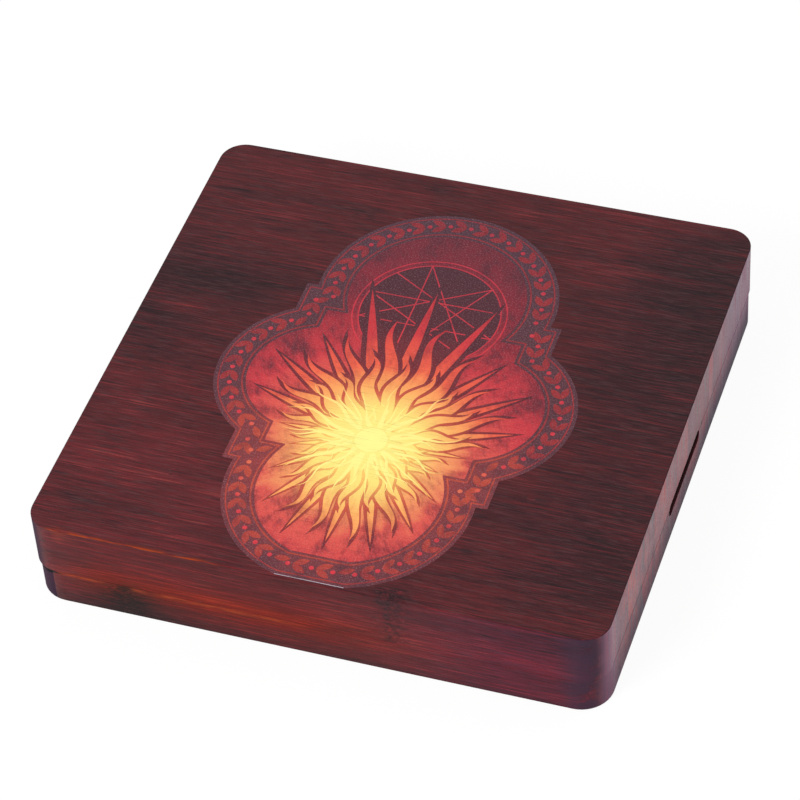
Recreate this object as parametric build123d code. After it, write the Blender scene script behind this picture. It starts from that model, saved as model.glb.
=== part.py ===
from build123d import *
import os

# Hinged dice case: two routed bamboo halves that open like a book.
# Frame: +Z up, origin at the centre of the base's underside, millimetres, lid closed.
# +X points to the opening side with the finger slot, -X to the hinged spine, -Y to the front.

# Case body
case_width = 240.0          # X, spine to opening side
case_depth = 240.0          # Y, front to back
base_height = 17.2          # the lid meets the base at this height
lid_height = 25.2           # the lid is the deeper half: turned open it is the rolling tray
base_corner = 13.3          # radius of the base's upright corners
lid_corner = 11.0           # radius of the lid's, a little squarer than the base's
edge_round = 0.5            # sanded edge round the lid's top face
edge_bevel = 0.5            # edge of the underside
rim_break = 0.2             # small bevel on the outer edges where the halves meet
inner_break = 0.6           # bevel on the inner edges of both rims
spine_relief = 0.25         # each rim is eased by this much at the spine, running out past the corners

# Routed pockets
wall = 12.0                 # rim width, all round
pocket_radius = 8.0         # upright inner corners, left by the cutter
base_floor = 4.5
lid_top = 5.0

# Finger slot across the joint on the opening side
slot_length = 48.0
slot_height = 6.0
slot_depth = 7.0
slot_drop = 1.5             # the slot's centre lies this far below the joint

# Foam insert with rows of six-sided dice seats, on a thin felt pad
insert_clearance = 0.3      # all round, in the base's pocket
insert_recess = 0.5         # the foam stops this far below the rim
pad_thick = 2.0
seat_across = 27.0          # flat to flat: takes a 20-sided die with room for a fingertip
seat_pitch = 29.0           # along a row, centre to centre, less than a seat's point to point
seat_web = 2.0              # foam left between two rows
seat_border = 4.5           # least foam outside the outer seats
neck_width = 18.0           # finger way that joins the seats of one row

# Felt in the lid
lining_thick = 1.5
lining_clearance = 0.5

# Butt hinges let into the spine side, one near each end
hinge_length = 30.0
hinge_inset = 50.0          # from the case's end to the hinge's middle
leaf_thick = 1.0
leaf_reach = 10.5           # pin axis to the leaf's inner edge
leaf_corner = 1.5
leaf_gap = 0.2              # between the two closed leaves
mortise_clearance = 0.15
barrel_radius = 1.9
barrel_clearance = 0.3      # round the barrel, in the wood and between barrel and leaves
pin_standoff = 1.2          # the pin's axis lies this far outside the spine face
pin_radius = 1.0
pin_clearance = 0.05
knuckle_count = 3
knuckle_gap = 0.2

# Countersunk screws, two to a leaf
screw_spacing = 18.0
screw_head_radius = 1.8
screw_shank_radius = 1.0
screw_length = 8.0
screw_clearance = 0.05

# Disc magnets in the rims of the opening side
magnet_radius = 4.0
magnet_thick = 3.0
magnet_clearance = 0.05
magnet_recess = 0.2         # below the rim
magnet_offset = 60.0        # from the case's centre line, along Y

# Worked out from the sizes above
case_height = base_height + lid_height
pocket_width = case_width - 2 * wall
pocket_depth = case_depth - 2 * wall
pin_x = -case_width / 2 - pin_standoff
hinge_y = case_depth / 2 - hinge_inset
magnet_x = case_width / 2 - wall / 2
seat_floor = base_floor + pad_thick
insert_top = base_height - insert_recess
cut_over = 1.0              # how far a cutting tool stands out of the wood it cuts


def slab(width, depth, low, high, radius):
    """Upright rounded block between two heights."""
    return Pos(0, 0, low) * extrude(RectangleRounded(width, depth, radius), high - low)


def outer_edges(body, height):
    """The edges of a block's outer outline at one height."""
    face = body.faces().filter_by_position(Axis.Z, height - 0.01, height + 0.01)[0]
    return face.outer_wire().edges()


def finger_slot():
    """Stadium-shaped cutter, sunk into the opening side across the joint."""
    outline = Plane.YZ * SlotOverall(slot_length, slot_height)
    bar = extrude(outline, slot_depth + cut_over)
    return Pos(case_width / 2 - slot_depth, 0, base_height - slot_drop) * bar


def spine_wedge():
    """Wedge that eases both rims towards the spine, so that the lid turns freely."""
    inner_x = base_corner - case_width / 2
    outer_x = -case_width / 2 - cut_over
    rise = spine_relief * (inner_x - outer_x) / base_corner
    section = make_face(Polyline((inner_x, 0), (outer_x, rise), (outer_x, -rise), close=True))
    bar = extrude(Plane.XZ * section, case_depth / 2 + cut_over, both=True)
    return Pos(0, 0, base_height) * bar


def cylinder_y(radius, length, start):
    """Round bar along Y from y = start, on the hinge's own axis."""
    bar = Plane.XZ * Circle(radius)
    return Pos(0, start + length, 0) * extrude(bar, length)


def leaf_plate(clearance=0.0):
    """Flat part of the base leaf in hinge axes: pin along Y, rim plane at z = 0."""
    low_x = barrel_radius + barrel_clearance - clearance
    high_x = leaf_reach + clearance
    width = high_x - low_x
    plate = Box(width, hinge_length + 2 * clearance, leaf_thick)
    inner = plate.edges().filter_by(Axis.Z).group_by(Axis.X)[-1]
    return Pos((low_x + high_x) / 2, 0, -(leaf_gap + leaf_thick) / 2) * fillet(inner, leaf_corner)


def screw_places():
    """Screw centres on a leaf, in hinge axes."""
    x = (barrel_radius + barrel_clearance + leaf_reach) / 2
    return [Pos(x, side * screw_spacing / 2, -leaf_gap / 2) for side in (-1, 1)]


def screw_body(clearance=0.0, reach=screw_length):
    """Countersunk screw, head up, its top at z = 0. With a clearance it is the hole's cutter."""
    head = screw_head_radius + clearance
    shank = screw_shank_radius + clearance
    outline = Polyline((0, 0), (head, 0), (shank, shank - head), (shank, -reach), (0, -reach), close=True)
    return revolve(Plane.XZ * make_face(outline), Axis.Z)


def knuckle_spans():
    """(start, length) of each knuckle along the pin, from the front."""
    length = (hinge_length - (knuckle_count - 1) * knuckle_gap) / knuckle_count
    step = length + knuckle_gap
    return [(-hinge_length / 2 + i * step, length) for i in range(knuckle_count)]


def leaf(first):
    """Leaf with every second knuckle, counted from first. The plate hangs below z = 0."""
    body = leaf_plate()
    for start, length in knuckle_spans()[first::2]:
        tab = Box(barrel_radius + 2 * barrel_clearance, length, leaf_thick,
                  align=(Align.MIN, Align.MIN, Align.MAX))
        body += Pos(0, start, -leaf_gap / 2) * tab
        body += cylinder_y(barrel_radius, length, start)
    body -= cylinder_y(pin_radius + pin_clearance, hinge_length + 2 * cut_over,
                       -hinge_length / 2 - cut_over)
    for place in screw_places():
        body -= place * screw_body(screw_clearance)
    return body


def hinge_pin():
    """Plain pin, flush with the outer knuckles' ends."""
    return cylinder_y(pin_radius, hinge_length, -hinge_length / 2)


def hinge_cutter():
    """What one hinge takes out of the base's rim: leaf mortise, barrel cove and screw holes."""
    mortise = leaf_plate(mortise_clearance)
    mouth = Box(barrel_radius + 2 * barrel_clearance, hinge_length + 2 * mortise_clearance,
                leaf_thick, align=(Align.MIN, Align.CENTER, Align.MAX))
    cut = mortise + Pos(0, 0, -leaf_gap / 2) * mouth
    cut += Pos(0, 0, leaf_gap / 2) * cut
    cove = hinge_length + 2 * barrel_clearance
    cut += cylinder_y(barrel_radius + barrel_clearance, cove, -cove / 2)
    for place in screw_places():
        cut += place * screw_body(screw_clearance, screw_length + cut_over)
    return cut


def at_hinges(make):
    """One copy of a shape at each hinge."""
    return [Pos(pin_x, side * hinge_y, base_height) * make for side in (-1, 1)]


def turned_over(shape):
    """A base-side hinge shape mirrored to the lid's side of the joint."""
    return mirror(shape, Plane.XY.offset(base_height))


def magnet(side, low):
    """Disc magnet at the front (-1) or back (1) of the opening side."""
    disc = Cylinder(magnet_radius, magnet_thick, align=(Align.CENTER, Align.CENTER, Align.MIN))
    return Pos(magnet_x, side * magnet_offset, low) * disc


def magnet_holes():
    """Blind holes for the magnets, cut from the joint both ways."""
    depth = 2 * (magnet_thick + magnet_recess)
    hole = Cylinder(magnet_radius + magnet_clearance, depth)
    return [Pos(magnet_x, side * magnet_offset, base_height) * hole for side in (-1, 1)]


def half(low, high, corner, pocket_low, pocket_high, rim):
    """One half with its pocket. rim is the height of its open face, whose edges get their bevels."""
    body = slab(case_width, case_depth, low, high, corner)
    body = chamfer(outer_edges(body, rim), rim_break)
    body -= slab(pocket_width, pocket_depth, pocket_low, pocket_high, pocket_radius)
    face = body.faces().filter_by_position(Axis.Z, rim - 0.01, rim + 0.01)[0]
    return chamfer(face.inner_wires()[0].edges(), inner_break)


def base_shell():
    body = half(0, base_height, base_corner, base_floor, base_height, base_height)
    body = chamfer(outer_edges(body, 0), edge_bevel)
    return body - (at_hinges(hinge_cutter()) + magnet_holes() + [finger_slot(), spine_wedge()])


def lid_shell():
    body = half(base_height, case_height, lid_corner, base_height, case_height - lid_top, base_height)
    body = fillet(outer_edges(body, case_height), edge_round)
    mortises = [turned_over(cut) for cut in at_hinges(hinge_cutter())]
    return body - (mortises + magnet_holes() + [finger_slot(), spine_wedge()])


def seat_line(span, seat, pitch):
    """Centres of as many seats as fit a span, evenly spaced about its middle."""
    count = int((span - 2 * seat_border - seat) // pitch) + 1
    return [(i - (count - 1) / 2) * pitch for i in range(count)]


def dice_insert():
    """Foam sheet with rows of seats cut right through it, each row joined by a finger way."""
    width = pocket_width - 2 * insert_clearance
    depth = pocket_depth - 2 * insert_clearance
    sheet = slab(width, depth, seat_floor, insert_top, pocket_radius - insert_clearance)
    seat = RegularPolygon(seat_across / 2, 6, major_radius=False)
    columns = seat_line(width, seat.bounding_box().size.X, seat_pitch)
    rows = seat_line(depth, seat_across, seat_across + seat_web)
    row = Rectangle(columns[-1] - columns[0], neck_width) + [Pos(x, 0) * seat for x in columns]
    cutter = extrude(row, insert_top - seat_floor + 2 * cut_over)
    return sheet - [Pos(0, y, seat_floor - cut_over) * cutter for y in rows]


def seat_pad():
    """Felt pad under the foam: the floor of the seats."""
    width = pocket_width - 2 * insert_clearance
    depth = pocket_depth - 2 * insert_clearance
    return slab(width, depth, base_floor, seat_floor, pocket_radius - insert_clearance)


def tray_lining():
    """Felt glued to the inside of the lid."""
    high = case_height - lid_top
    width = pocket_width - 2 * lining_clearance
    depth = pocket_depth - 2 * lining_clearance
    return slab(width, depth, high - lining_thick, high, pocket_radius - lining_clearance)


def screws():
    """The base's hinge screws."""
    return [at * (place * screw_body()) for at in at_hinges(Pos(0, 0, 0)) for place in screw_places()]


base_leaves = at_hinges(leaf(0))
lid_leaves = [turned_over(shape) for shape in at_hinges(leaf(1))]
pins = at_hinges(hinge_pin())
base_magnet_low = base_height - magnet_recess - magnet_thick
lid_magnet_low = base_height + magnet_recess

nodes = {
    "base_shell": base_shell(),
    "lid_shell": lid_shell(),
    "seat_pad": seat_pad(),
    "dice_insert": dice_insert(),
    "tray_lining": tray_lining(),
    "base_hinge_screws": Compound(children=screws()),
    "lid_hinge_screws": Compound(children=[turned_over(screw) for screw in screws()]),
}
for i, name in enumerate(("front", "rear")):
    side = (-1, 1)[i]
    nodes[f"{name}_hinge_base_leaf"] = base_leaves[i]
    nodes[f"{name}_hinge_lid_leaf"] = lid_leaves[i]
    nodes[f"{name}_hinge_pin"] = pins[i]
    nodes[f"{name}_base_magnet"] = magnet(side, base_magnet_low)
    nodes[f"{name}_lid_magnet"] = magnet(side, lid_magnet_low)

os.makedirs("parts", exist_ok=True)
for name, shape in nodes.items():
    export_step(shape, f"parts/{name}.step")
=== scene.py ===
"""Hinged bamboo dice case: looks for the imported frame. Metres, +Z up, lid closed at rest."""
import math
import random
from types import SimpleNamespace

import bmesh
import bpy
from mathutils import Matrix, Vector, noise


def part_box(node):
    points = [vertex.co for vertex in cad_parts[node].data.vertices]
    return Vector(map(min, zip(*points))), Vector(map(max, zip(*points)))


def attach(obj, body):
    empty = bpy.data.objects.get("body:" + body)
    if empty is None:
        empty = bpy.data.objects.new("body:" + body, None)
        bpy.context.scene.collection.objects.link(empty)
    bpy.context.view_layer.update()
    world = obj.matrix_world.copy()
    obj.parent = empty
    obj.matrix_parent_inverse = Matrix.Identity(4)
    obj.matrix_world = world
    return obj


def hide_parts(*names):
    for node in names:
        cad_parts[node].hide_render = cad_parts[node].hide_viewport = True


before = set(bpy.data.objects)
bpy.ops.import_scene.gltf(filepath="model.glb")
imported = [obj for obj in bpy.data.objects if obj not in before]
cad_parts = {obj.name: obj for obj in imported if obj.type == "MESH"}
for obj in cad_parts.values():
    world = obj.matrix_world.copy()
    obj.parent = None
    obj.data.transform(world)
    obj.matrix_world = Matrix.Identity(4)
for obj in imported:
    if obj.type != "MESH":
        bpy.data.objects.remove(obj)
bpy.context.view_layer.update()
MM = 0.001


# ---------------------------------------------------------------- shader expressions

class Value:
    """A number in a node tree, with arithmetic that adds nodes."""

    def __init__(self, net, socket):
        self.net = net
        self.socket = socket

    def __add__(self, other):
        return self.net.math("ADD", self, other)

    def __sub__(self, other):
        return self.net.math("SUBTRACT", self, other)

    def __rsub__(self, other):
        return self.net.math("SUBTRACT", other, self)

    def __mul__(self, other):
        return self.net.math("MULTIPLY", self, other)

    def __truediv__(self, other):
        return self.net.math("DIVIDE", self, other)

    __radd__ = __add__
    __rmul__ = __mul__


class Net:
    """A material and short ways to wire its nodes."""

    def __init__(self, name):
        self.material = bpy.data.materials.new(name)
        self.material.use_nodes = True
        self.tree = self.material.node_tree
        self.bsdf = self.tree.nodes["Principled BSDF"]

    def wire(self, socket, value):
        if isinstance(value, Value):
            self.tree.links.new(value.socket, socket)
        else:
            socket.default_value = value

    def node(self, kind, settings=(), inputs=()):
        made = self.tree.nodes.new(kind)
        for key, value in dict(settings).items():
            setattr(made, key, value)
        for key, value in dict(inputs).items():
            self.wire(made.inputs[key], value)
        return made

    def math(self, operation, *values):
        made = self.node("ShaderNodeMath", {"operation": operation})
        for i, value in enumerate(values):
            self.wire(made.inputs[i], value)
        return Value(self, made.outputs[0])

    def clamp(self, value):
        made = self.node("ShaderNodeClamp", (), {0: value})
        return Value(self, made.outputs[0])

    def abs(self, value):
        return self.math("ABSOLUTE", value)

    def vary(self, base, *parts):
        """The base plus each (noise, amount), where a noise of 0.5 adds nothing."""
        for noise_value, amount in parts:
            base = base + (noise_value - 0.5) * amount
        return base

    def step(self, value, low, high):
        """Smooth rise from 0 at low to 1 at high."""
        made = self.node("ShaderNodeMapRange", {"interpolation_type": "SMOOTHSTEP"},
                         {0: value, 1: low, 2: high})
        return Value(self, made.outputs[0])

    def bell(self, value, centre, width):
        """1 at the centre, falling off as a bell curve."""
        d = (value - centre) / width
        return self.math("EXPONENT", d * d * -1.0)

    def vector(self, x, y, z):
        made = self.node("ShaderNodeCombineXYZ", (), {0: x, 1: y, 2: z})
        return Value(self, made.outputs[0])

    def place(self):
        """Object coordinates in millimetres, and the object-space normal."""
        source = self.node("ShaderNodeTexCoord")
        parts = []
        for output in ("Object", "Normal"):
            split = self.node("ShaderNodeSeparateXYZ")
            self.tree.links.new(source.outputs[output], split.inputs[0])
            parts.append([Value(self, socket) for socket in split.outputs])
        return [part * 1000.0 for part in parts[0]], parts[1]

    def noise(self, at, size, w=0.0, detail=2.0, rough=0.5):
        """Noise at a point in mm, its lumps as large as size along each axis. w picks a pattern."""
        point = self.vector(*(part / length for part, length in zip(at, size)))
        made = self.node("ShaderNodeTexNoise", {"noise_dimensions": "4D"},
                         {"Vector": point, "W": w, "Scale": 1.0, "Detail": detail, "Roughness": rough})
        return Value(self, made.outputs[0])

    def random(self, number):
        made = self.node("ShaderNodeTexWhiteNoise", {"noise_dimensions": "1D"}, {"W": number})
        return Value(self, made.outputs["Value"])

    def ramp(self, value, stops):
        made = self.node("ShaderNodeValToRGB", (), {0: value})
        elements = made.color_ramp.elements
        while len(elements) < len(stops):
            elements.new(1.0)
        for element, (at, colour) in zip(elements, stops):
            element.position = at
            element.color = (*colour, 1.0)
        return Value(self, made.outputs[0])

    def mix(self, share, a, b, blend="MIX"):
        made = self.node("ShaderNodeMix", {"data_type": "RGBA", "blend_type": blend})
        for i, value in ((0, share), (6, a), (7, b)):
            if isinstance(value, tuple):
                value = (*value, 1.0)
            self.wire(made.inputs[i], value)
        return Value(self, made.outputs[2])

    def bump(self, height, distance_mm, strength=1.0):
        made = self.node("ShaderNodeBump", (), {"Height": height, "Distance": distance_mm * MM,
                                                "Strength": strength})
        self.tree.links.new(made.outputs[0], self.bsdf.inputs["Normal"])

    def finish(self, **sockets):
        """Sets the shader's sockets: a word per socket, with _ for a space."""
        for key, value in sockets.items():
            if isinstance(value, tuple):
                value = (*value, 1.0)
            self.wire(self.bsdf.inputs[key.replace("_", " ")], value)
        return self.material


# ---------------------------------------------------------------- bamboo

STRIP = 5.714               # width of one lamella, mm: 42 of them make the board
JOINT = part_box("base_shell")[1].z / MM
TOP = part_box("lid_shell")[1].z / MM
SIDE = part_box("lid_shell")[1].x / MM

FACE_GRAIN = (              # dark stain, the board's own tone, red fibres, pale fibres
    (0.0, (0.010, 0.007, 0.009)), (0.27, (0.032, 0.010, 0.013)), (0.5, (0.078, 0.014, 0.017)),
    (0.68, (0.126, 0.017, 0.021)), (0.84, (0.180, 0.026, 0.028)), (1.0, (0.260, 0.046, 0.040)))
END_GRAIN = (
    (0.0, (0.070, 0.030, 0.055)), (0.35, (0.160, 0.055, 0.080)), (0.6, (0.270, 0.070, 0.092)),
    (1.0, (0.420, 0.080, 0.085)))
# grey flecks: partly greyed fibres, partly a painted sheen of the varnish
GREY_FIBRE_AND_SHEEN = (0.120, 0.060, 0.064)
WORN_ORANGE = (0.30, 0.040, 0.008)
FRONT_WARM = (1.0, 0.62, 0.62)          # these three multiply the stain on the front
FRONT_AT_JOINT = (1.06, 0.70, 0.25)
FRONT_FAR = (0.90, 0.60, 1.05)
# painted lilac-grey sheen on the ends, then painted shade low on the ends and along their bottom edge
END_LILAC_SHEEN = (0.200, 0.092, 0.165)
END_LOW_SHADE = (0.040, 0.020, 0.045)
END_FOOT_SHADE = (0.014, 0.007, 0.016)
# painted dark bluish sheen on the turned corners
LEFT_CORNER_SHEEN = (0.024, 0.012, 0.030)
RIGHT_CORNER_SHEEN = (0.036, 0.016, 0.036)
RIM_DARK = (0.012, 0.004, 0.006)
# painted shade in the joint's gap at the spine corner; also the dark seam line
GAP_SHADE_AND_SEAM_DARK = (0.003, 0.002, 0.003)
# painted shade inside the finger slot
SLOT_SHADE = (0.020, 0.007, 0.008)
# a dark spot on the end just past the slot's far end
SLOT_END_SPOT_DARK = (0.008, 0.003, 0.004)

WALL = 12.0                 # the rims' width
SLOT_HALF = 24.0            # half the finger slot's length
SLOT_DROP = 1.5             # how far its middle lies below the joint
FRONT_STRIP = -20.5         # lamellas numbered below this show at the front
NODE_SPREAD = 520.0         # range over which the lamellas' nodes are scattered


def lamellas(n, seed, node_at):
    """Coordinates on the board, the lamella's own draws, and what bends its fibres."""
    (x, y, z), (nx, ny, nz) = n.place()
    strip = n.math("FLOOR", y * (0.9995 / STRIP))
    front = n.math("LESS_THAN", strip, FRONT_STRIP)
    lot = [n.random(strip * 1.37 + seed + i * 11.3) for i in range(4)]

    # each lamella has its node somewhere; the front one's is in plain view
    far_node = (lot[0] - 0.5) * NODE_SPREAD
    node_x = far_node + front * (node_at - far_node)
    node = n.bell(x + (lot[1] - 0.5) * 1.5, node_x, 6.0) * (0.25 + front * 0.75)

    at = (x, y, z)
    sway = n.noise(at, (80, 18, 18), seed, 1.0)
    curl = n.noise(at, (3.4, 2.4, 2.4), seed + 3.0, 2.0)
    lift = (sway - 0.5) * 3.0 + (curl - 0.5) * node * 6.0
    return SimpleNamespace(
        at=at, x=x, y=y, z=z, nx=nx, ny=ny, nz=nz, bent=(x, y + lift, z + lift), front=front,
        node=node, sway=sway, curl=curl, tone=lot[3], seed=seed, own=lot[2] * 50.0 + seed)


def add_textures(n, b):
    """Noises that more than one part of the finish uses."""
    b.cloud = n.noise(b.at, (42, 15, 15), b.seed + 21.0, 2.0)
    b.streak = n.noise(b.bent, (34, 0.85, 0.85), b.own + 5.0, 2.0)
    b.fibre = n.noise(b.bent, (16, 0.45, 0.45), b.own + 9.0, 1.0)
    b.pores = n.noise(b.bent, (10, 0.7, 0.7), b.own + 17.0, 0.0)
    b.rub = n.noise(b.at, (9, 2.5, 0.7), b.seed + 31.0, 2.0)
    b.upright = n.noise((b.x, b.y + (b.sway - 0.5) * 3.0, b.z), (30, 1.3, 26), 41.0, 2.0)
    b.blotch = n.noise(b.at, (30, 5.0, 8.0), 47.0, 3.0)


def add_masks(n, b, corner_sharp):
    """Shares from 0 to 1 that pick out places on the case."""
    turned = n.abs(b.nx)
    flat_end = 1.0 - n.step(n.abs(b.ny), 0.05, 0.20)
    joint_edge = n.step(turned, 0.35, 0.60) * n.bell(b.z, JOINT, 1.2) * flat_end
    b.ends = n.clamp(n.step(turned, 0.60, 0.95) + joint_edge)
    b.spine = n.step(b.nx * -1.0, 0.90, 0.99)
    b.facing = n.step(b.ny * -1.0, 0.5, 0.9)
    b.wall = 1.0 - n.step(n.abs(b.nz), 0.3, 0.7)
    # where the painted bluish sheen goes on the left and right corners
    b.left = n.step(b.nx * -1.0, 0.27, 0.27 + corner_sharp) * (1.0 - n.step(turned, 0.93, 0.99))
    b.right = n.step(b.x, 98.0, 112.0) * (1.0 - b.ends) * n.step(b.y * -1.0, 100.0, 108.0) * b.wall
    # the ends' upper edges, which are made darker
    b.rim = n.step(turned, 0.5, 0.8) * n.step(b.nz, 0.12, 0.40)
    # inside the finger slot, where its shade is painted
    inner = SIDE - WALL
    hollow = n.step(b.x, inner + 0.2, inner + 0.8) * (1.0 - n.step(b.x, SIDE - 0.8, SIDE - 0.1))
    hollow = hollow * (1.0 - n.step(n.abs(b.y), SLOT_HALF + 0.1, SLOT_HALF + 0.8))
    b.hollow = hollow * n.bell(b.z, JOINT - SLOT_DROP, 5.0)


def face_colour(n, b, patches):
    """Long fibres, pores and cloudy stain, darker or redder in the patches, and grey flecks: partly greyed
    fibres, partly a painted sheen of the varnish.
    """
    band = n.noise(b.bent, (90, 3.0, 3.0), b.own, 1.0)
    pale = n.noise(b.bent, (30, 0.6, 0.6), b.own + 13.0, 0.0)
    fleck = n.noise(b.at, (0.8, 0.45, 0.45), b.own + 19.0, 1.0)
    grey = n.noise(b.bent, (7, 0.40, 0.40), b.own + 23.0, 1.0)

    level = n.vary(0.47, (b.cloud, 0.34), (band, 0.24), (b.streak, 0.36), (b.fibre, 0.38),
                   (fleck, 0.26), (b.tone, 0.07))
    level = level + b.front * 0.10
    level = level + n.step(pale, 0.57, 0.67) * (b.cloud + b.streak - 0.50) * 0.34
    level = level - n.step(b.pores, 0.58, 0.68) * 0.12
    for px, py, pz, wx, wy, wz, amount in patches:
        spot = n.bell(b.x, px, wx) * n.bell(b.y, py, wy) * n.bell(b.z, pz, wz)
        level = level + spot * (b.cloud + 0.5) * amount
    level = level + b.node * ((b.curl - 0.5) * 1.3 - 0.10)
    colour = n.ramp(level, FACE_GRAIN)
    # grey flecks, partly painted varnish sheen
    return n.mix(n.step(grey, 0.46, 0.74) * 0.30, colour, GREY_FIBRE_AND_SHEEN)


def front_tones(n, b, colour):
    """The front is stained warmer, and turns bluer towards its far corner."""
    warm = b.facing * (1.0 - n.step(b.x, -20.0, 70.0)) * n.step(b.x, -116.0, -84.0)
    colour = n.mix(warm, colour, FRONT_WARM, "MULTIPLY")
    colour = n.mix(warm * n.bell(b.z, JOINT, 9.0), colour, FRONT_AT_JOINT, "MULTIPLY")
    return n.mix(b.facing * n.step(b.x, 20.0, 90.0), colour, FRONT_FAR, "MULTIPLY")


def worn_edges(n, b, colour, worn):
    """Stain rubbed through to orange along some edges of the front."""
    for low, high, wy, at_z, wz, amount in worn:
        along = n.step(b.x, low - 2, low + 2) * (1.0 - n.step(b.x, high - 9, high + 9))
        edge = n.bell(b.y, -SIDE, wy) * n.bell(b.z, at_z, wz)
        share = n.clamp(along * edge * n.step(b.rub, 0.36, 0.62) * amount)
        colour = n.mix(share, colour, WORN_ORANGE)
    return colour


def end_colour(n, b):
    """Upright stripes, redder near the front; over them a painted lilac-grey sheen at the back and on the
    front corner, and painted shade low down and along the bottom edge.
    """
    specks = n.noise(b.at, (1.0, 0.35, 0.7), b.seed + 43.0, 1.0)
    contrast = 1.5 + n.bell(b.y, -80.0, 36.0) * 0.9
    level = n.vary(0.50, (b.upright, contrast), (b.tone, 0.40), (specks, 0.4))
    level = level + (b.blotch - 0.45) * 1.7 * n.bell(b.y, -62.0, 42.0)
    colour = n.ramp(level, END_GRAIN)

    # painted sheen: lilac-grey reflection at the back of the ends and on the front-right corner, less on the
    # spine
    back = n.step(b.y, 25.0, 105.0) * 0.75 + n.bell(b.y, -112.0, 11.0) * 0.7
    colour = n.mix(back * (1.0 - b.spine * 0.65), colour, END_LILAC_SHEEN)
    # painted shade: the ends get darker towards the bottom, where less light reaches them
    low_shade = (1.0 - n.step(b.z, 2.0, JOINT + 3.0)) * n.step(b.y, -118.0, -96.0)
    low_shade = low_shade * (0.72 + n.step(b.y, 12.0, 40.0) * 0.22) * (1.0 - b.spine * 0.45)
    colour = n.mix(low_shade, colour, END_LOW_SHADE)
    # painted shade along the bottom edge of the ends, against the floor's bounce light
    foot_shade = n.bell(b.z, 0.0, 3.0) * n.step(b.y, -70.0, -20.0)
    return n.mix(foot_shade * 0.6, colour, END_FOOT_SHADE)


def corner_sheen_and_rims(n, b, colour):
    """Painted dark bluish sheen on the turned corners, in blotches on the right one, and a darker line along
    the ends' upper edges.
    """
    patchy = 1.0 - n.step(b.blotch, 0.50, 0.66) * 0.8
    # painted sheen: dark bluish reflection on the corners
    colour = n.mix(b.left * 0.85, colour, LEFT_CORNER_SHEEN)
    colour = n.mix(b.right * patchy * 0.80, colour, RIGHT_CORNER_SHEEN)
    # darker along the ends' upper edges
    return n.mix(b.rim * 0.85, colour, RIM_DARK)


def joint_marks(n, b, colour):
    """Painted shade where the joint opens at the spine corner, under the lid's overhang, and a broken dark
    line near its other end.
    """
    # painted shade in the gap under the lid's overhang at the spine corner
    gap_shade = n.step(b.x * -1.0, 103.0, 111.0) * (1.0 - n.step(b.z, JOINT, JOINT + 0.3))
    rising = b.z + n.step(b.x * -1.0, 109.0, 114.0) * 1.8
    gap_shade = gap_shade * n.step(rising, JOINT - 1.6, JOINT - 0.9)
    seam = n.step(b.x, 58.0, 66.0) * n.step(b.rub, 0.40, 0.60) * n.bell(b.z, JOINT, 0.28)
    share = n.clamp((gap_shade + seam * b.front * 0.8) * b.wall * 1.2)
    return n.mix(share, colour, GAP_SHADE_AND_SEAM_DARK)


def slot_marks(n, b, colour):
    """Painted shade inside the finger slot, and a dark spot just past its far end."""
    # a dark spot just past the slot's far end
    end_spot = b.ends * n.bell(b.y, SLOT_HALF + 3.6, 1.5) * n.bell(b.z, JOINT + 0.6, 0.9)
    # painted shade: the darkness inside the closed slot
    colour = n.mix(n.clamp(b.hollow * 1.3), colour, SLOT_SHADE)
    return n.mix(n.clamp(end_spot), colour, SLOT_END_SPOT_DARK)


def bamboo(name, seed, node_at, patches, worn, corner_sharp):
    """Stained, laminated bamboo with its grain along X and upright lamellas."""
    n = Net(name)
    b = lamellas(n, seed, node_at)
    add_textures(n, b)
    add_masks(n, b, corner_sharp)
    colour = front_tones(n, b, face_colour(n, b, patches))
    colour = worn_edges(n, b, colour, worn)
    # the ends carry a painted lilac sheen and painted shade over their stripes
    colour = n.mix(b.ends, colour, end_colour(n, b))
    # painted bluish sheen on the corners, and darker rims
    colour = corner_sheen_and_rims(n, b, colour)
    # painted shade in the joint's gap and inside the slot, and a dark spot past the slot
    colour = slot_marks(n, b, joint_marks(n, b, colour))

    height = b.fibre * 0.6 + b.streak * 0.5 + b.pores * -0.4 - b.node * b.curl * 2.0
    n.bump(height * (1.0 - b.ends), 0.04, 0.4)
    rough = n.vary(0.36, (b.streak, 0.25), (b.fibre, 0.2))
    rough = rough + b.left * 0.35 + b.hollow * 0.5 + b.rim * 0.5
    low_dust = (1.0 - n.step(b.z, 3.0, 30.0)) * 0.18
    rough = rough + b.ends * n.vary(low_dust, (b.upright, 0.45))
    return n.finish(Base_Color=colour, Roughness=n.clamp(rough), IOR=1.2)


LID_PATCHES = (             # x, y, z, spread in each, amount: darker (-) and redder (+) stain
    (-100, 34, TOP, 42, 15, 40, -0.24), (-112, 2, TOP, 30, 14, 40, -0.16),
    (-101, 14, TOP, 9, 3.5, 40, 0.16), (-60, -90, TOP, 60, 18, 40, 0.10),
    (-90, -64, TOP, 40, 16, 40, 0.12), (108, 15, TOP, 44, 60, 40, -0.18),
    (-60, 104, TOP, 60, 12, 40, 0.03), (108, -80, TOP, 30, 30, 40, -0.16),
    (112, 85, TOP, 30, 40, 40, -0.20),
    (34, -SIDE, TOP, 9, 5, 4, -0.16), (-40, -SIDE, JOINT + 2, 62, 3, 3.5, 0.18),
    (12, -SIDE, JOINT + 8, 34, 3, 6, 0.13), (85, -SIDE, JOINT + 2, 40, 3, 7, 0.12),
    (112, -SIDE, TOP - 4, 26, 3, 9, -0.22), (70, -SIDE, TOP - 8, 40, 3, 9, -0.06),
)
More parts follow.
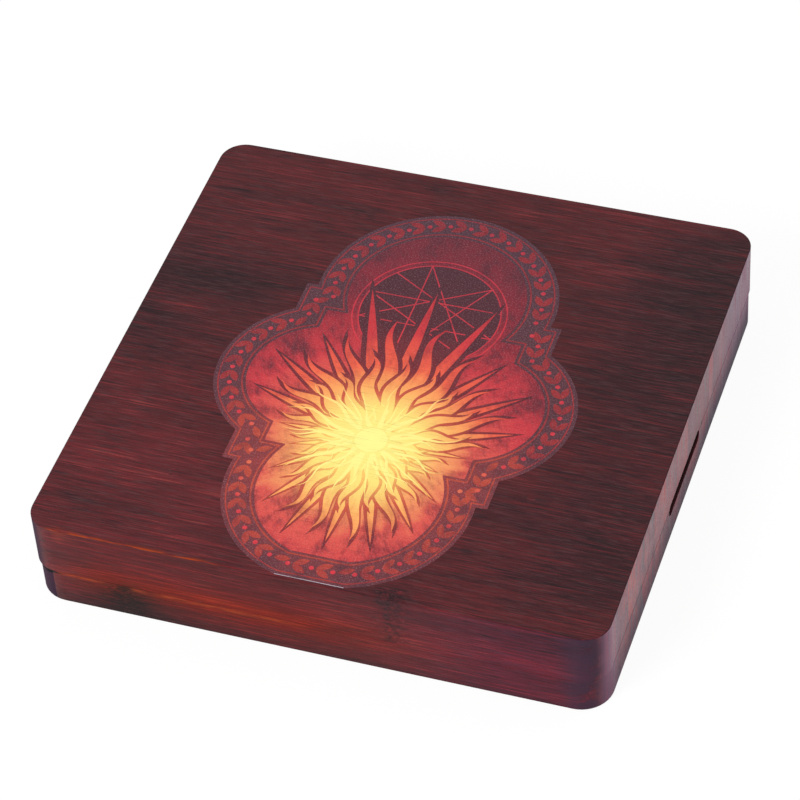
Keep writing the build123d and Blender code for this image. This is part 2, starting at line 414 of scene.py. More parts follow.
BASE_PATCHES = (
    (-78, -SIDE, 9, 10, 3, 12, -0.36), (-84, -SIDE, 5, 26, 3, 7, -0.22),
    (-60, -SIDE, 1.5, 70, 3, 5, -0.16), (20, -SIDE, 0, 110, 3, 3.5, -0.16),
    (-30, -SIDE, JOINT, 60, 3, 4, 0.14), (30, -SIDE, 12, 12, 3, 5, 0.10),
    (95, -SIDE, 9, 44, 3, 9, -0.10),
)
LID_WORN = (                # from x, to x, spread in y, at z, spread in z, amount
    (-110, -40, 1.0, TOP - 0.4, 0.4, 1.2), (-107, -104, 2.0, TOP - 3.0, 3.0, 0.8),
)
BASE_WORN = (
    (-111, -90, 2.0, JOINT - 0.6, 0.5, 1.4), (-76, -8, 2.0, JOINT - 1.3, 0.9, 0.9),
)
lid_wood = bamboo("stained_bamboo_lid", 2.0, 34.0, LID_PATCHES, LID_WORN, 0.45)
base_wood = bamboo("stained_bamboo_base", 57.0, -80.0, BASE_PATCHES, BASE_WORN, 0.03)


def metal(name, colour, rough, scratch):
    """Metal with a fine brushed or polished surface."""
    n = Net(name)
    at, _ = n.place()
    brush = n.noise(at, (0.6, 6.0, 0.6), 1.0, 3.0, 0.6)
    stain = n.noise(at, (4, 4, 4), 2.0, 3.0)
    tint = n.mix(n.step(stain, 0.45, 0.75) * 0.35, colour, tuple(c * 0.62 for c in colour))
    n.bump(brush, 0.02, scratch)
    return n.finish(Base_Color=tint, Metallic=1.0, Roughness=n.clamp(rough + (brush - 0.5) * 0.25))


brass = metal("brushed_brass", (0.72, 0.53, 0.26), 0.30, 0.5)
screw_brass = metal("screw_brass", (0.70, 0.50, 0.24), 0.24, 0.2)
nickel = metal("nickel_plate", (0.75, 0.74, 0.72), 0.14, 0.1)


def felt(name, colour, light):
    """Pressed wool: matted short fibres, with painted shade where its bump is low."""
    n = Net(name)
    at, _ = n.place()
    tangle = n.noise(at, (0.55, 0.55, 0.55), 0.0, 4.0, 0.7)
    long = n.noise(at, (0.22, 1.6, 0.3), 4.0, 2.0)
    across = n.noise(at, (1.5, 0.22, 0.3), 7.0, 2.0)
    cloud = n.noise(at, (14, 14, 14), 9.0, 2.0)
    fibre = n.math("MAXIMUM", long, across)
    dark = tuple(c * 0.45 for c in colour)
    # painted shade: darker where the tangle, and so the bump, is low
    tint = n.mix(n.step(tangle, 0.3, 0.7), dark, colour)
    tint = n.mix(n.step(fibre, 0.58, 0.78) * 0.6, tint, light)
    tint = n.mix(n.step(cloud, 0.4, 0.75) * 0.25, tint, dark)
    n.bump(tangle * 0.8 + fibre * 0.6, 0.35, 0.8)
    return n.finish(Base_Color=tint, Roughness=0.95, Specular_IOR_Level=0.15,
                    Sheen_Weight=0.35, Sheen_Roughness=0.4)


red_felt = felt("red_felt", (0.28, 0.02, 0.03), (0.45, 0.06, 0.07))
black_felt = felt("black_felt", (0.022, 0.022, 0.025), (0.07, 0.07, 0.075))


def foam():
    """Fine closed-cell foam with open cells on its cut faces."""
    n = Net("black_foam")
    at, _ = n.place()
    point = n.vector(*(part / 0.9 for part in at))
    made = n.node("ShaderNodeTexVoronoi", (), {"Vector": point, "Scale": 1.0})
    cell = Value(n, made.outputs["Distance"])
    grain = n.noise(at, (0.35, 0.35, 0.35), 0.0, 3.0, 0.6)
    cloud = n.noise(at, (20, 20, 20), 3.0, 2.0)
    tint = n.ramp(cell * 0.5 + grain * 0.4 + cloud * 0.2, (
        (0.2, (0.008, 0.008, 0.009)), (0.5, (0.028, 0.028, 0.030)), (0.85, (0.060, 0.060, 0.064))))
    n.bump(grain * 0.6 - cell * 0.8, 0.30, 0.7)
    return n.finish(Base_Color=tint, Roughness=0.9, Specular_IOR_Level=0.25)


black_foam = foam()

FINISHES = (                # the first word found in a node's name; screws get meshes of their own
    ("base_shell", base_wood), ("lid_shell", lid_wood), ("screws", None), ("hinge_", brass),
    ("magnet", nickel),
)
for name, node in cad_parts.items():
    finish = next((material for word, material in FINISHES if word in name), None)
    if finish:
        node.data.materials.clear()
        node.data.materials.append(finish)


# ---------------------------------------------------------------- mesh helpers

def piece(name, bm, material, body):
    """A mesh object from a bmesh, riding on a body."""
    bmesh.ops.recalc_face_normals(bm, faces=bm.faces)
    mesh = bpy.data.meshes.new(name)
    bm.to_mesh(mesh)
    bm.free()
    mesh.materials.append(material)
    made = bpy.data.objects.new(name, mesh)
    bpy.context.scene.collection.objects.link(made)
    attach(made, body)
    return made


def smooth(made, angle=40):
    mesh = made.data
    mesh.shade_smooth()
    mesh.set_sharp_from_angle(angle=math.radians(angle))


def wall(bm, a, b):
    """Four-sided faces between two loops of as many vertices."""
    for i in range(len(a)):
        j = (i + 1) % len(a)
        bm.faces.new((a[i], a[j], b[j], b[i]))


def polar(centre, radius, angle):
    return centre[0] + radius * math.cos(angle), centre[1] + radius * math.sin(angle)


def rounded_box(width, depth, radius, steps=8):
    """Closed outline of a rounded rectangle about the origin, counter-clockwise, mm."""
    points = []
    for i, (sx, sy) in enumerate(((1, 1), (-1, 1), (-1, -1), (1, -1))):
        cx, cy = sx * (width / 2 - radius), sy * (depth / 2 - radius)
        for k in range(steps + 1):
            points.append(polar((cx, cy), radius, math.pi / 2 * (i + k / steps)))
    return points


def rounded_corners(points, radius, steps=4):
    """The outline with each corner cut round."""
    out = []
    count = len(points)
    for i in range(count):
        before, here, after = (Vector(points[(i + k) % count]) for k in (-1, 0, 1))
        a, b = (before - here), (after - here)
        reach = min(radius, 0.45 * a.length, 0.45 * b.length)
        start, end = here + a.normalized() * reach, here + b.normalized() * reach
        for k in range(steps + 1):
            t = k / steps
            p = start * (1 - t) ** 2 + here * 2 * t * (1 - t) + end * t * t
            out.append((p.x, p.y))
    return out


# ---------------------------------------------------------------- felt and foam

SHEET_EDGE = 0.35           # how far in from its rim a sheet starts to bend down, mm
SHEET_RINGS = 18            # loops of faces from a sheet's middle to its edge
SHEET_STEP = 6.0            # longest side of a face along the rim
PAD_CORNER, LINING_CORNER = 7.7, 7.5
PAD_WAVE, LINING_WAVE = 0.25, 0.15      # how far each upper face dips at most


def felt_sheet(name, node, material, radius, wave, body):
    """A closed felt sheet in a CAD solid's place, its upper face a little uneven, its rim soft."""
    low, high = (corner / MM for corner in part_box(node))
    width, depth = high.x - low.x, high.y - low.y
    thick = high.z - low.z
    outline = rounded_box(width, depth, radius, 6)
    rim = []
    for i in range(len(outline)):       # even spacing along the straight sides
        a, b = Vector(outline[i]), Vector(outline[(i + 1) % len(outline)])
        parts = max(1, round((b - a).length / SHEET_STEP))
        rim += [a.lerp(b, k / parts) for k in range(parts)]
    bm = bmesh.new()

    def loop(scale, inset, depth_share, rough):
        ring = []
        for p in rim:
            q = p * scale * (1 - 2 * inset / width)
            dip = wave * (0.5 + 0.5 * noise.noise(Vector((q.x / 17, q.y / 17, 3.0)))) * rough
            dip += 0.05 * (0.5 + 0.5 * noise.noise(Vector((q.x / 2.6, q.y / 2.6, 9.0)))) * rough
            if body == "lid":
                z = low.z + dip + thick * depth_share
            else:
                z = high.z - dip - thick * depth_share
            ring.append(bm.verts.new((q.x * MM, q.y * MM, z * MM)))
        return ring

    loops = [loop((k + 0.5) / SHEET_RINGS, SHEET_EDGE, 0.0, 1.0) for k in range(SHEET_RINGS)]
    loops.append(loop(1.0, SHEET_EDGE, 0.0, 1.0))
    loops.append(loop(1.0, SHEET_EDGE * 0.3, 0.12, 1.0))
    loops.append(loop(1.0, 0.0, 0.4, 0.0))
    loops.append(loop(1.0, 0.0, 1.0, 0.0))
    for a, b in zip(loops, loops[1:]):
        wall(bm, a, b)
    bm.faces.new(loops[0])
    bm.faces.new(loops[-1])
    made = piece(name, bm, material, body)
    smooth(made, 60)
    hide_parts(node)
    return made, (width * MM, depth * MM)


pad, pad_flat = felt_sheet("felt_seat_pad", "seat_pad", red_felt, PAD_CORNER, PAD_WAVE, "base")
lining, lining_flat = felt_sheet("felt_tray_lining", "tray_lining", black_felt, LINING_CORNER,
                                 LINING_WAVE, "lid")


SEAT_ACROSS, SEAT_PITCH, SEAT_ROWS, SEAT_WEB, NECK = 27.0, 29.0, 7, 2.0, 18.0
FOAM_EDGE = 0.7             # radius of the foam's cut edges
SEAT_CORNER = 1.2           # how far each corner of a seat is cut round


def seat_row():
    """Outline of one row of seats joined by their finger way, about the row's middle."""
    half = SEAT_ACROSS / 2
    flat = half / math.sqrt(3)
    tip = 2 * flat
    neck_x = tip - (NECK / 2) / math.sqrt(3)
    top = []
    for k in range(SEAT_ROWS):
        cx = (k - (SEAT_ROWS - 1) / 2) * SEAT_PITCH
        if k:
            top.append((cx - neck_x, NECK / 2))
        top += [(cx - flat, half), (cx + flat, half)]
        if k < SEAT_ROWS - 1:
            top.append((cx + neck_x, NECK / 2))
    end = (SEAT_ROWS - 1) / 2 * SEAT_PITCH + tip
    bottom = [(px, -py) for px, py in reversed(top)]
    return [(-end, 0.0)] + top + [(end, 0.0)] + bottom


def foam_insert():
    """Foam sheet whose cut edges are all a little rounded."""
    low, high = (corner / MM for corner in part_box("dice_insert"))
    curve = bpy.data.curves.new("foam_outline", "CURVE")
    curve.dimensions = "2D"
    curve.fill_mode = "BOTH"
    curve.extrude = ((high.z - low.z) / 2 - FOAM_EDGE) * MM
    curve.bevel_depth = FOAM_EDGE * MM
    curve.bevel_resolution = 3
    curve.offset = -FOAM_EDGE * MM
    row = rounded_corners(seat_row(), SEAT_CORNER)
    outlines = [rounded_box(high.x - low.x, high.y - low.y, PAD_CORNER)]
    for k in range(SEAT_ROWS):
        cy = (k - (SEAT_ROWS - 1) / 2) * (SEAT_ACROSS + SEAT_WEB)
        outlines.append([(px, py + cy) for px, py in row])
    for outline in outlines:
        spline = curve.splines.new("POLY")
        spline.points.add(len(outline) - 1)
        for point, (px, py) in zip(spline.points, outline):
            point.co = (px * MM, py * MM, 0.0, 1.0)
        spline.use_cyclic_u = True
    shape = bpy.data.objects.new("foam_outline", curve)
    bpy.context.scene.collection.objects.link(shape)
    bpy.context.view_layer.update()
    solid = shape.evaluated_get(bpy.context.evaluated_depsgraph_get())
    mesh = bpy.data.meshes.new_from_object(solid)
    bpy.data.objects.remove(shape)
    bm = bmesh.new()
    bm.from_mesh(mesh)
    bpy.data.meshes.remove(mesh)
    bmesh.ops.remove_doubles(bm, verts=bm.verts, dist=0.00001)
    bmesh.ops.translate(bm, verts=bm.verts, vec=(0, 0, (low.z + high.z) / 2 * MM))
    made = piece("foam_dice_insert", bm, black_foam, "base")
    smooth(made, 35)
    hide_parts("dice_insert")


foam_insert()


# ---------------------------------------------------------------- hinge screws

HEAD, SHANK, REACH = 1.78, 1.0, 8.0     # radii of a screw's head and shank, and its length
HEAD_RIM = 0.07             # height of the head's upright rim
SIDES = 24
RIBS, RIBS_START = 9, 1.6   # shallow ribs stand for the thread, from this depth on
CROSS_ARM, CROSS_HALF, CROSS_DEEP = 1.05, 0.24, 0.75
SCREWS_Y = (-79.0, -61.0, 61.0, 79.0)


def screw(bm, at, up):
    """Countersunk cross-head screw. up is +1 or -1: the way its head faces along Z."""
    def ring(radius, z):
        return [bm.verts.new((*polar((0.0, 0.0), radius, 2 * math.pi * k / SIDES), z)) for k in range(SIDES)]

    start = len(bm.verts)
    rings = [ring(HEAD * 0.93, 0.0), ring(HEAD, -HEAD_RIM), ring(SHANK, -HEAD_RIM - HEAD + SHANK)]
    for k in range(RIBS):
        z = -RIBS_START - k * (REACH - RIBS_START - 1.0) / RIBS
        rings += [ring(SHANK * 0.84, z), ring(SHANK, z - 0.28)]
    rings.append(ring(0.15, -REACH))
    for a, b in zip(rings, rings[1:]):
        wall(bm, a, b)
    bm.faces.new(rings[-1])

    arm, half = CROSS_ARM, CROSS_HALF
    plan = [(half, half), (half, arm), (-half, arm), (-half, half), (-arm, half), (-arm, -half),
            (-half, -half), (-half, -arm), (half, -arm), (half, -half), (arm, -half), (arm, half)]
    mouth = [bm.verts.new((px, py, 0.0)) for px, py in plan]
    floor = [bm.verts.new((px * 0.6, py * 0.6, -CROSS_DEEP)) for px, py in plan]
    wall(bm, mouth, floor)
    bm.faces.new(floor)
    edges = [bm.edges.get((loop[i], loop[(i + 1) % len(loop)]))
             for loop in (rings[0], mouth) for i in range(len(loop))]
    bmesh.ops.triangle_fill(bm, edges=edges, use_beauty=True)
    bm.verts.ensure_lookup_table()
    flip = Matrix.Rotation(0.0 if up > 0 else math.pi, 3, "X")
    turn = flip @ Matrix.Rotation(at[0] * 7 + at[1], 3, "Z")    # no two crosses lie alike
    for v in bm.verts[start:]:
        v.co = (turn @ v.co + Vector(at)) * MM


def hinge_screws(name, node, body, up):
    low, high = (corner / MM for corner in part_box(node))
    bm = bmesh.new()
    for y in SCREWS_Y:
        screw(bm, ((low.x + high.x) / 2, y, high.z if up > 0 else low.z), up)
    made = piece(name, bm, screw_brass, body)
    smooth(made, 30)
    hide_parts(node)


hinge_screws("cross_head_screws_base", "base_hinge_screws", "base", 1)
hinge_screws("cross_head_screws_lid", "lid_hinge_screws", "lid", -1)


# ---------------------------------------------------------------- printed medallion on the lid

GLOW = (0.0, -40.0)         # centre of the sunburst, mm
LAYER = 0.02                # thickness of one coat of ink
MIDDLE = (0.5, -11.4)       # centre of the medallion
SIDE_LOBE = (33.0, 43.5)    # how far out each lobe's centre lies, and its radius
END_LOBE = (58.0, 51.4)
BARB = (56.0, 53.0)         # half width and height of the block whose corners stand between the lobes
CUT_Y = -118.8              # the print is cut straight at the lid's front edge
BAND = 13.5                 # width of the border
LATTICE = (0.5, 36.0)       # centre of the line pattern above the sunburst

INK_DARK = (0.055, 0.012, 0.022)
INK_BRIGHT = (0.95, 0.07, 0.06)
SPECK_PALE = (0.62, 0.42, 0.48)
SPECK_DARK = (0.020, 0.008, 0.012)
FIBRE_DARK = (0.035, 0.010, 0.014)


def ink(name, stops, speckle=0.5, mottle=0.6):
    """Printed ink. Its colour runs outwards from the sunburst, in brushed strokes, on grainy wood."""
    n = Net(name)
    (x, y, _), _ = n.place()
    dx, dy = x - GLOW[0], y - GLOW[1]
    away = n.math("SQRT", dx * dx + dy * dy)
    turn = n.math("ARCTAN2", dy, dx)
    cloud = n.noise((x, y, 0.0), (13, 13, 1), 2.0, 4.0, 0.62)
    stroke = n.noise((turn * 9.0, away, 0.0), (1, 26, 1), 14.0, 3.0, 0.6)
    daub = n.noise((x + y * 0.6, y - x * 0.6, 0.0), (2.2, 7, 1), 17.0, 3.0, 0.6)
    dots = n.noise((x, y, 0.0), (0.62, 0.62, 1), 5.0, 2.0, 0.7)
    fibre = n.noise((x, y, 0.0), (18, 0.5, 1), 8.0, 2.0)

    # mottled all over, except in the core's even glow
    far = n.step(away, 16.0, 56.0)
    spread = (away + dy * 0.16) / 140.0
    colour = n.ramp(spread + n.vary(0.0, (cloud, 0.16), (stroke, 0.16)) * far, stops)
    shade = n.step(cloud * 0.5 + stroke * 0.35 + daub * 0.3, 0.52, 0.72) * far
    bright = n.step(stroke * 0.5 + daub * 0.5, 0.56, 0.72) * (1.0 - shade)
    colour = n.mix(shade * mottle, colour, INK_DARK)
    colour = n.mix(bright * mottle * 0.7, colour, n.mix(0.65, colour, INK_BRIGHT))

    # the wood's grain shows through as pale and dark specks
    pale, dark = n.step(dots, 0.50, 0.72), n.step(1.0 - dots, 0.50, 0.72)
    colour = n.mix(pale * speckle, colour, n.mix(0.45, colour, SPECK_PALE))
    colour = n.mix(dark * speckle, colour, n.mix(0.5, colour, SPECK_DARK))
    colour = n.mix(n.step(fibre, 0.52, 0.8) * 0.35, colour, FIBRE_DARK)
    n.bump(dots * 0.5 + fibre * 0.7, 0.04, 0.4)
    return n.finish(Base_Color=colour, Roughness=n.clamp(n.vary(0.42, (dots, 0.3))), IOR=1.3)


def film(bm, outer, layer, inner=None, coats=1.0):
    """One closed coat of ink between an outline and an optional inner one of as many points."""
    z0, z1 = (TOP + LAYER * layer) * MM, (TOP + LAYER * (layer + coats)) * MM
    rings = []
    for outline in (outer, inner):
        if outline:
            rings.append([[bm.verts.new((px * MM, py * MM, z)) for px, py in outline] for z in (z0, z1)])
    for low, high in rings:
        wall(bm, low, high)
    if inner:
        for outside, inside in zip(*rings):
            wall(bm, outside, inside)
    else:
        for ring in rings[0]:
            bm.faces.new(ring)


def exit_from_circle(angle, cx, cy, radius):
    """How far a ray from the medallion's centre runs before it leaves a circle, or 0 if it misses."""
    along = cx * math.cos(angle) + cy * math.sin(angle)
    inside = radius ** 2 - cx ** 2 - cy ** 2 + along ** 2
    return along + math.sqrt(inside) if inside > 0 else 0.0


def medallion_point(angle, grow):
    """Where a ray from the medallion's centre meets its outline."""
    c, s = math.cos(angle), math.sin(angle)
    reach = min((BARB[0] + grow) / max(abs(c), 1e-6), (BARB[1] + grow) / max(abs(s), 1e-6))
    for way in (-1, 1):
        reach = max(reach, exit_from_circle(angle, way * SIDE_LOBE[0], 0.0, SIDE_LOBE[1] + grow),
                    exit_from_circle(angle, 0.0, way * END_LOBE[0], END_LOBE[1] + grow))
    return MIDDLE[0] + reach * c, max(MIDDLE[1] + reach * s, CUT_Y - min(grow, 0.0))


def medallion(grow=0.0, steps=720):
    """Barbed quatrefoil: four round lobes with a square corner between each two, cut at the lid's edge."""
    return [medallion_point(2 * math.pi * (k + 0.5) / steps, grow) for k in range(steps)]


def in_border(outline):
    """Whether an outline lies between the border's two lines."""
    def inside(point):
        angle = math.atan2(point[1] - MIDDLE[1], point[0] - MIDDLE[0])
        inner, outer = (math.dist(medallion_point(angle, grow), MIDDLE) for grow in (-BAND + 2.2, -2.6))
        return inner < math.dist(point, MIDDLE) < outer and point[1] > CUT_Y + 2.6

    return all(inside(point) for point in outline)


def reach_to(outline, angle):
    """How far the outline lies from the sunburst's centre at an angle."""
    def off(point):
        turn = math.atan2(point[1] - GLOW[1], point[0] - GLOW[0]) - angle
        return abs((turn + math.pi) % (2 * math.pi) - math.pi)

    return math.dist(min(outline, key=off), GLOW)


def tongue(centre, angle, start, end, spread, wave=0.0, waves=1.5, belly=0.35, steps=26):
    """Pointed tongue along a ray from a centre, spread its half width, swaying by wave to each side."""
    left, right = [], []
    for k in range(steps + 1):
        t = k / steps
        w = 0.0
        if 0 < k < steps:
            w = spread * math.sin(math.pi * t ** (math.log(0.5) / math.log(belly))) ** 0.9
        sway = wave * math.sin(2 * math.pi * waves * t) * t ** 0.7
        r = start + (end - start) * t
        for side, points in ((w, left), (-w, right)):
            points.append((centre[0] + r * math.cos(angle) - (sway + side) * math.sin(angle),
                           centre[1] + r * math.sin(angle) + (sway + side) * math.cos(angle)))
    return right + left[-2:0:-1]


def disc(centre, radius, sides=40):
    return [polar(centre, radius, 2 * math.pi * k / sides) for k in range(sides)]


def stripe(a, b, width):
    """Thin four-cornered line from a to b."""
    along = (Vector(b) - Vector(a)).normalized() * width / 2
    across = Vector((-along.y, along.x))
    a, b = Vector(a) - along, Vector(b) + along
    return [tuple(p) for p in (a - across, b - across, b + across, a + across)]


def even_places(outline, spacing):
    """Points with their tangent angles, evenly spaced along a closed outline."""
    total = sum(math.dist(outline[i - 1], outline[i]) for i in range(len(outline)))
    count = round(total / spacing)
    run, due, out = 0.0, 0.5, []
    for i in range(len(outline)):
        a, b = outline[i - 1], outline[i]
        run += math.dist(a, b)
        if run >= due * total / count:
            out.append((b, math.atan2(b[1] - a[1], b[0] - a[0])))
            due += 1
    return out


GROUND = ((0.0, (0.80, 0.20, 0.08)), (0.25, (0.30, 0.040, 0.040)), (0.5, (0.095, 0.024, 0.034)),
          (1.0, (0.070, 0.024, 0.038)))
FIELD = ((0.0, (1.0, 0.80, 0.24)), (0.13, (1.0, 0.72, 0.20)), (0.21, (0.96, 0.38, 0.13)),
         (0.30, (0.72, 0.095, 0.070)), (0.44, (0.58, 0.036, 0.048)), (0.64, (0.25, 0.014, 0.028)),
         (1.0, (0.15, 0.013, 0.026)))
FLAME = ((0.0, (1.0, 0.90, 0.26)), (0.15, (1.0, 0.78, 0.20)), (0.25, (1.0, 0.42, 0.12)),
         (0.36, (0.86, 0.12, 0.06)), (0.52, (0.60, 0.034, 0.042)), (1.0, (0.30, 0.014, 0.030)))
SHADOW = ((0.0, (1.0, 0.76, 0.20)), (0.12, (1.0, 0.58, 0.14)), (0.22, (0.62, 0.10, 0.05)),
          (0.34, (0.20, 0.018, 0.024)), (0.55, (0.080, 0.012, 0.020)), (1.0, (0.055, 0.013, 0.024)))
CORE = ((0.0, (1.0, 0.94, 0.30)), (0.16, (1.0, 0.86, 0.26)), (0.27, (1.0, 0.58, 0.18)),
        (1.0, (0.70, 0.08, 0.06)))
RUST = ((0.0, (0.80, 0.14, 0.05)), (0.5, (0.33, 0.024, 0.027)), (1.0, (0.26, 0.018, 0.026)))
LINE = ((0.0, (1.0, 0.50, 0.14)), (0.4, (0.66, 0.036, 0.052)), (1.0, (0.46, 0.024, 0.048)))
PALE = ((0.0, (0.50, 0.42, 0.47)), (1.0, (0.50, 0.42, 0.47)))

ink_ground = ink("ink_ground", GROUND, 0.6, 0.35)
ink_field = ink("ink_field", FIELD, 0.5, 0.75)
ink_flame = ink("ink_flame", FLAME, 0.4, 0.4)
ink_shadow = ink("ink_shadow", SHADOW, 0.5, 0.3)
ink_core = ink("ink_core", CORE, 0.15, 0.0)
ink_rust = ink("ink_rust", RUST, 0.5, 0.5)
ink_line = ink("ink_line", LINE, 0.4, 0.4)
ink_edge = ink("ink_cut_edge", PALE, 0.9, 0.5)

rng = random.Random(7)


def printed(name, material, shapes):
    """One printed piece from (outline, layer) or (outline, layer, inner outline) shapes."""
    bm = bmesh.new()
    for i, (outer, layer, *inner) in enumerate(shapes):
        coats = 1.0 - 0.07 * (5 * i % 12)       # where shapes cross, their tops differ in height
        film(bm, outer, layer, inner[0] if inner else None, coats)
    return piece(name, bm, material, "lid")


field = medallion(-BAND)
printed("print_ground", ink_ground, [(medallion(), 0)])
cut_half = math.sqrt(END_LOBE[1] ** 2 - (MIDDLE[1] - END_LOBE[0] - CUT_Y) ** 2)
printed("print_cut_edge", ink_edge,
        [(stripe((MIDDLE[0] - cut_half, CUT_Y + 0.15), (MIDDLE[0] + cut_half, CUT_Y + 0.15), 0.32), 1)])
printed("print_border_lines", ink_rust, [(medallion(-1.7), 1, medallion(-2.3)),
                                         (medallion(-BAND + 1.9), 1, medallion(-BAND + 1.2))])
printed("print_field", ink_field, [(field, 1)])

# laurel in the border: pairs of leaves with a berry between them
LAUREL_STEP, LEAF_TILT, BERRY = 9.2, 0.50, 1.05
leaves, berries = [], []
for at, heading in even_places(medallion(-BAND / 2), LAUREL_STEP):
    for side in (-1, 1):
        leaf = tongue(at, heading + side * LEAF_TILT, 0.4, 7.4, 1.55, belly=0.5, steps=12)
        if in_border(leaf):
            leaves.append((leaf, 1))
    berry = disc(polar(at, -1.6, heading), BERRY, 16)
    if in_border(berry):
        berries.append((berry, 2))
printed("print_leaves", ink_rust, leaves)
printed("print_berries", ink_line, berries)

# line pattern in the upper field: a star polygon between two circles
POINTS, SKIP, LATTICE_R = 12, 5, 30.0
corners = [polar(LATTICE, LATTICE_R, 2 * math.pi * (k + 0.5) / POINTS) for k in range(POINTS)]
lines = [(stripe(corners[k], corners[(k + SKIP) % POINTS], 0.55), 2) for k in range(POINTS)]
for radius in (LATTICE_R, LATTICE_R + 2.6, 9.0):
    lines.append((disc(LATTICE, radius + 0.3, 96), 2.05, disc(LATTICE, radius - 0.3, 96)))
printed("print_star_lines", ink_line, lines)
printed("print_star_ground", ink_shadow, [(disc(LATTICE, LATTICE_R - 0.3, 96), 1.5)])

# sunburst: straight rays, then two tiers of swaying flames over them
RAYS, RAY_LONGEST, RAY_BELLY = 20, 96.0, 0.42
angles = [math.pi / 2 + 2 * math.pi * k / RAYS for k in range(RAYS)]
halfway = [a + math.pi / RAYS for a in angles]
rays, ray_cores = [], []
for angle in angles:
    end = min(reach_to(field, angle) * 0.95, RAY_LONGEST)
    rays.append((tongue(GLOW, angle, 8.0, end, 0.050 * end, belly=RAY_BELLY), 3))
    ray_cores.append((tongue(GLOW, angle, 10.0, end * 0.93, 0.026 * end, belly=RAY_BELLY), 4))
printed("print_rays", ink_shadow, rays)
printed("print_ray_cores", ink_flame, ray_cores)
TIERS = (                   # angles, share of the way out, longest, width and sway per length, layer
    (halfway, 0.86, 78.0, 0.066, 0.045, 5),
    (angles, 0.62, 52.0, 0.088, -0.05, 7),
)
for tier, (turns, share, longest, wide, sway, layer) in enumerate(TIERS):
    under, over = [], []
    for angle in turns:
        long = min(reach_to(field, angle) * share, longest) * rng.uniform(0.92, 1.05)
        wave = sway * long * rng.uniform(0.7, 1.3)
        under.append((tongue(GLOW, angle, 7.0, long, long * wide, wave), layer))
        over.append((tongue(GLOW, angle, 8.5, long * 0.94, long * wide * 0.66, wave * 0.94), layer + 1))
    printed(f"print_flame_shadows_{tier}", ink_shadow, under)
    printed(f"print_flames_{tier}", ink_flame, over)

# wisps of light that curl out of the core
WISPS = 46
wisps = []
for k in range(WISPS):
    angle = 2 * math.pi * (k + rng.uniform(-0.4, 0.4)) / WISPS
    long = rng.uniform(20.0, 42.0)
    wisps.append((tongue(GLOW, angle, 6.0, long, rng.uniform(0.35, 0.9), rng.uniform(-3.2, 3.2),
                         rng.uniform(0.8, 1.7), 0.3, 20), 9))
printed("print_wisps", ink_core, wisps)

# the core: a faceted star, its facets light and dark by turns, with a disc in its middle
STAR_NOTCH, CORE_R, CORE_RING_R = 9.0, 6.7, 7.6
STAR_LONG = (25.0, 15.5, 20.0, 15.5, 15.5, 15.5) * 2
for side, material in ((-1, ink_core), (1, ink_flame)):
    facets = []
    for k, long in enumerate(STAR_LONG):
        angle = math.pi / 2 + math.pi / 6 * k
        notch = angle + side * math.pi / 12
        facets.append(([GLOW, polar(GLOW, STAR_NOTCH, notch), polar(GLOW, long, angle)][::side], 10))
    printed(f"print_star_{'right' if side < 0 else 'left'}", material, facets)
printed("print_core_ring", ink_flame, [(disc(GLOW, CORE_RING_R), 11, disc(GLOW, CORE_R))])
printed("print_core", ink_core, [(disc(GLOW, CORE_R), 11)])


# ---------------------------------------------------------------- floor, light, camera

BOUNCE = (0.82, 0.82, 0.82, 1.0)        # the floor's own colour
WHITE = (1.0, 1.0, 1.0, 1.0)
FLOOR_GLOW, FLOOR_SHARE = 1.03, 0.90    # strength of its white, and how much of it rays see


def backdrop_rays(tree):
    """1 for the rays that show the backdrop: from the camera, by gloss and through glass."""
    path = tree.nodes.new("ShaderNodeLightPath")
    total = path.outputs["Is Camera Ray"]
    for kind in ("Is Glossy Ray", "Is Transmission Ray"):
        most = tree.nodes.new("ShaderNodeMath")
        most.operation = "MAXIMUM"
        tree.links.new(total, most.inputs[0])
        tree.links.new(path.outputs[kind], most.inputs[1])
        total = most.outputs[0]
    return total


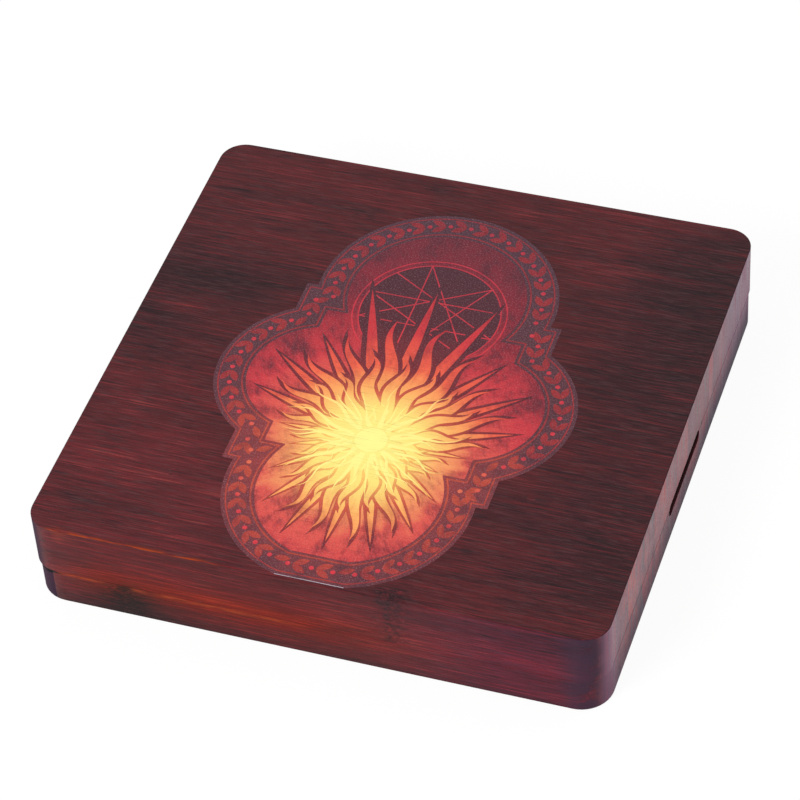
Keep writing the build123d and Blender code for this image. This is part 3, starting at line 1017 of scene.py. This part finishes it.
def floor_material():
    """White floor that bounces plain light and keeps a soft shadow."""
    material = bpy.data.materials.new("floor_white")
    material.use_nodes = True
    tree = material.node_tree
    tree.nodes.clear()
    out = tree.nodes.new("ShaderNodeOutputMaterial")
    both = tree.nodes.new("ShaderNodeMixShader")
    plain = tree.nodes.new("ShaderNodeBsdfDiffuse")
    plain.inputs[0].default_value = BOUNCE
    lit = tree.nodes.new("ShaderNodeEmission")
    lit.inputs[0].default_value = WHITE
    lit.inputs[1].default_value = FLOOR_GLOW
    share = tree.nodes.new("ShaderNodeMath")
    share.operation = "MULTIPLY"
    tree.links.new(backdrop_rays(tree), share.inputs[0])
    share.inputs[1].default_value = FLOOR_SHARE
    tree.links.new(share.outputs[0], both.inputs[0])
    tree.links.new(plain.outputs[0], both.inputs[1])
    tree.links.new(lit.outputs[0], both.inputs[2])
    tree.links.new(both.outputs[0], out.inputs[0])
    return material


bm = bmesh.new()
bmesh.ops.create_grid(bm, x_segments=2, y_segments=2, size=6.0)
mesh = bpy.data.meshes.new("floor")
bm.to_mesh(mesh)
bm.free()
mesh.materials.append(floor_material())
floor = bpy.data.objects.new("floor", mesh)
floor.location = (0.0, 0.0, -0.0004)
bpy.context.scene.collection.objects.link(floor)

world = bpy.data.worlds.new("studio")
bpy.context.scene.world = world
world.use_nodes = True
tree = world.node_tree
back = tree.nodes["Background"]
back.inputs[0].default_value = WHITE
strength = tree.nodes.new("ShaderNodeMapRange")
strength.inputs[3].default_value = 0.55     # the light that it gives
strength.inputs[4].default_value = 1.0      # the white that it shows
tree.links.new(backdrop_rays(tree), strength.inputs[0])
tree.links.new(strength.outputs[0], back.inputs[1])


def lamp(name, at, size, power):
    """A round area lamp that faces the case and shows in no reflection."""
    data = bpy.data.lights.new(name, "AREA")
    data.shape = "DISK"
    data.size = size
    data.energy = power
    made = bpy.data.objects.new(name, data)
    made.location = at
    made.rotation_euler = (-Vector(at)).to_track_quat("-Z", "Y").to_euler()
    made.visible_glossy = False
    bpy.context.scene.collection.objects.link(made)


lamp("key", (-0.75, -1.65, 1.30), 0.9, 34.0)
lamp("fill", (0.9, 0.9, 1.6), 1.2, 6.0)

# the camera was fitted to the photograph's outline of the case
data = bpy.data.cameras.new("camera")
data.sensor_width = 36.0
data.lens = 153.776
camera = bpy.data.objects.new("camera", data)
right = Vector((0.94918, 0.30999, -0.05438))
up = Vector((-0.18317, 0.68463, 0.70550))
ahead = Vector((-0.25593, 0.65969, -0.70662))
turn = Matrix((right, up, -ahead)).transposed().to_4x4()
camera.matrix_world = Matrix.Translation((0.36146, -0.93610, 1.02897)) @ turn
bpy.context.scene.collection.objects.link(camera)
bpy.context.scene.camera = camera
bpy.context.scene.view_settings.view_transform = "Standard"
